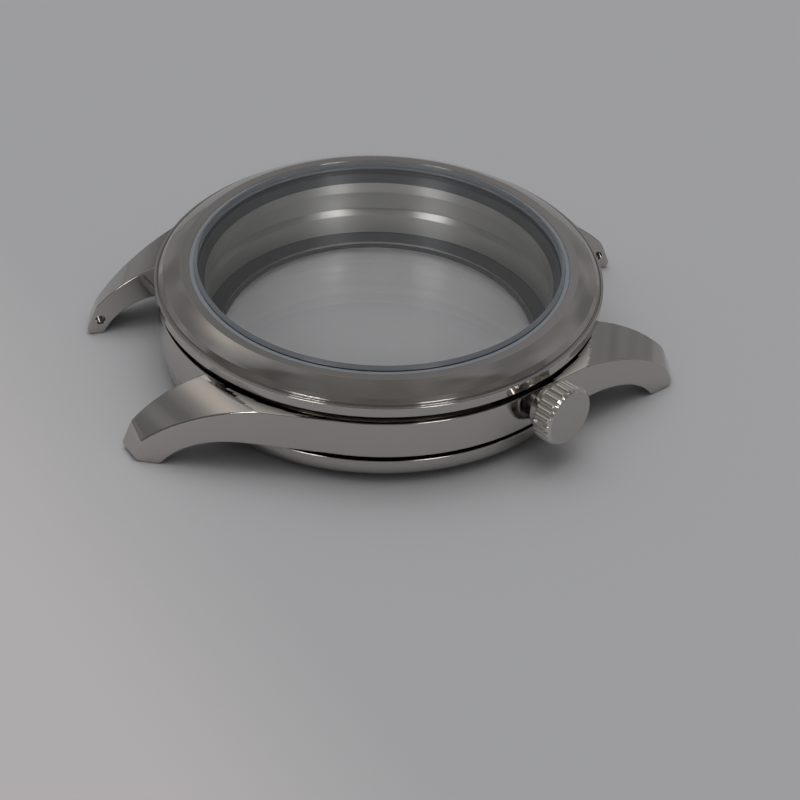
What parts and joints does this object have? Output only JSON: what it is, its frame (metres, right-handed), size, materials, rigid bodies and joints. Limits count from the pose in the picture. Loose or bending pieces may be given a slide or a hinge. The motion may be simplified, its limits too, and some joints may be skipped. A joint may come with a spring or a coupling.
{
  "type": "empty watch case",
  "caption": "Empty round wristwatch case in polished steel with a flat crystal, a push-fit display back and a fluted crown near two o'clock.",
  "frame": {"origin": "on the case's axis, at the level of the back's flat outer face, which is also the lugs' feet", "axes": "+Z out of the crystal, +Y to twelve o'clock, +X to three o'clock"},
  "size_m": [0.0433, 0.0526, 0.0109],
  "materials": {
    "polished_steel": "mirror polished",
    "turned_steel": "fine turned",
    "crystal_glass": "polished",
    "gasket_nylon": "translucent",
    "seal_rubber": "matte",
    "washer_steel": "plain"
  },
  "bodies": {
    "case": {"mid_case": "polished_steel", "bezel": "polished_steel", "bezel_seal": "gasket_nylon", "crystal": "crystal_glass", "crystal_gasket": "gasket_nylon", "rehaut_ring": "turned_steel", "case_tube": "turned_steel", "back_seal": "seal_rubber"},
    "back": {"back_ring": "polished_steel", "back_window": "crystal_glass", "back_window_gasket": "gasket_nylon"},
    "crown_slider": {"crown_seal_inner": "seal_rubber", "crown_seal_outer": "seal_rubber", "crown_seal_washer": "washer_steel"},
    "crown": {"crown_shell": "polished_steel", "crown_core": "turned_steel"}
  },
  "joints": [
    {"name": "back_off", "type": "slide", "parent": "case", "child": "back", "axis": [0, 0, -1], "range_m": [0, 0.02]},
    {"name": "crown_pull", "type": "slide", "parent": "case", "child": "crown_slider", "axis": [0.8643, 0.503, 0], "range_m": [0, 0.0012]},
    {"name": "crown_turn", "type": "hinge", "parent": "crown_slider", "child": "crown", "pos_m": [0, 0, 0.00562], "axis": [0.8643, 0.503, 0], "continuous": true}
  ]
}
